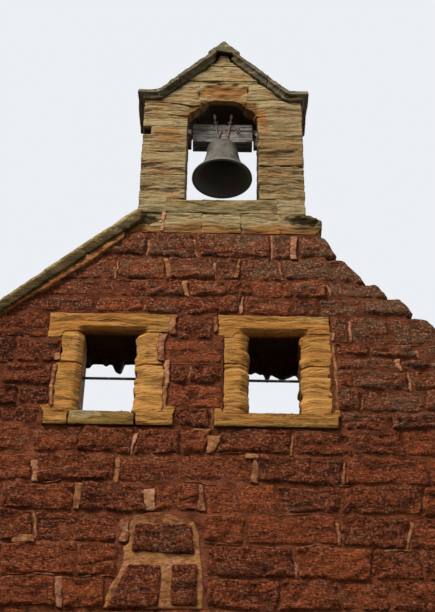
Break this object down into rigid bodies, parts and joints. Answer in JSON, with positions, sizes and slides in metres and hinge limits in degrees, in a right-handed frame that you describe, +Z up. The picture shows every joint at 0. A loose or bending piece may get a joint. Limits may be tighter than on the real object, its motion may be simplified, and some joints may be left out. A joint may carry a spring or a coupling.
{
  "type": "stone bellcote on the gable of a roofless building, with a hung bell",
  "caption": "Ruined red sandstone gable wall with two small windows, topped by a yellow stone bellcote with a moulded saddle coping and a swinging bronze bell.",
  "frame": {"origin": "on the ground under the bell's centre line, midway through the gable wall", "axes": "+X to the right of someone facing the front, front towards -Y, +Z up"},
  "size_m": [6.5, 1.77, 10.0127],
  "materials": {
    "red_rubble": "coursed red sandstone rubble, weathered, in pale lime mortar",
    "window_dressings": "golden bedded sandstone, worn in level furrows",
    "gable_coping": "olive-brown lichened sandstone",
    "bellcote_stone": "buff bedded sandstone, deeply furrowed, with orange fresh faces",
    "bellcote_coping": "dark olive lichened sandstone",
    "rusted_iron": "old rusted wrought iron",
    "weathered_timber": "grey weathered oak",
    "bell_bronze": "dull bell bronze with grey-green patina"
  },
  "bodies": {
    "gable": {"wall_below_windows": "red_rubble", "wall_left_of_windows": "red_rubble", "wall_between_windows": "red_rubble", "wall_right_of_windows": "red_rubble", "gable_head": "red_rubble", "side_wall_left": "red_rubble", "side_wall_right": "red_rubble", "inner_lintels": "red_rubble", "left_window_lintel": "window_dressings", "left_window_left_jamb": "window_dressings", "left_window_right_jamb": "window_dressings", "left_window_sill": "window_dressings", "right_window_lintel": "window_dressings", "right_window_left_jamb": "window_dressings", "right_window_right_jamb": "window_dressings", "right_window_sill": "window_dressings", "left_skewputt": "gable_coping", "left_coping_lower": "gable_coping", "left_coping_1": "gable_coping", "left_coping_2": "gable_coping", "left_coping_3": "gable_coping", "left_coping_4": "gable_coping", "left_coping_5": "gable_coping", "base_course": "bellcote_stone", "left_foot_block": "bellcote_stone", "right_end_block": "bellcote_stone", "bellcote_sill": "bellcote_stone", "left_pier": "bellcote_stone", "right_pier": "bellcote_stone", "arch_left": "bellcote_stone", "arch_right": "bellcote_stone", "arch_centre": "bellcote_stone", "tympanum": "bellcote_stone", "right_kneeler": "bellcote_coping", "left_kneeler": "bellcote_coping", "right_saddle_slab": "bellcote_coping", "left_saddle_slab": "bellcote_coping", "apex_stone": "bellcote_coping", "window_bars": "rusted_iron", "bearings": "rusted_iron"},
    "bell": {"headstock": "weathered_timber", "bell": "bell_bronze", "gudgeons": "rusted_iron", "hangers": "rusted_iron", "ring_bolt": "rusted_iron"}
  },
  "joints": [
    {"name": "bell_swing", "type": "hinge", "parent": "gable", "child": "bell", "pos_m": [0, -0.07, 9.05], "axis": [1, 0, 0], "range_deg": [-60, 60]}
  ]
}
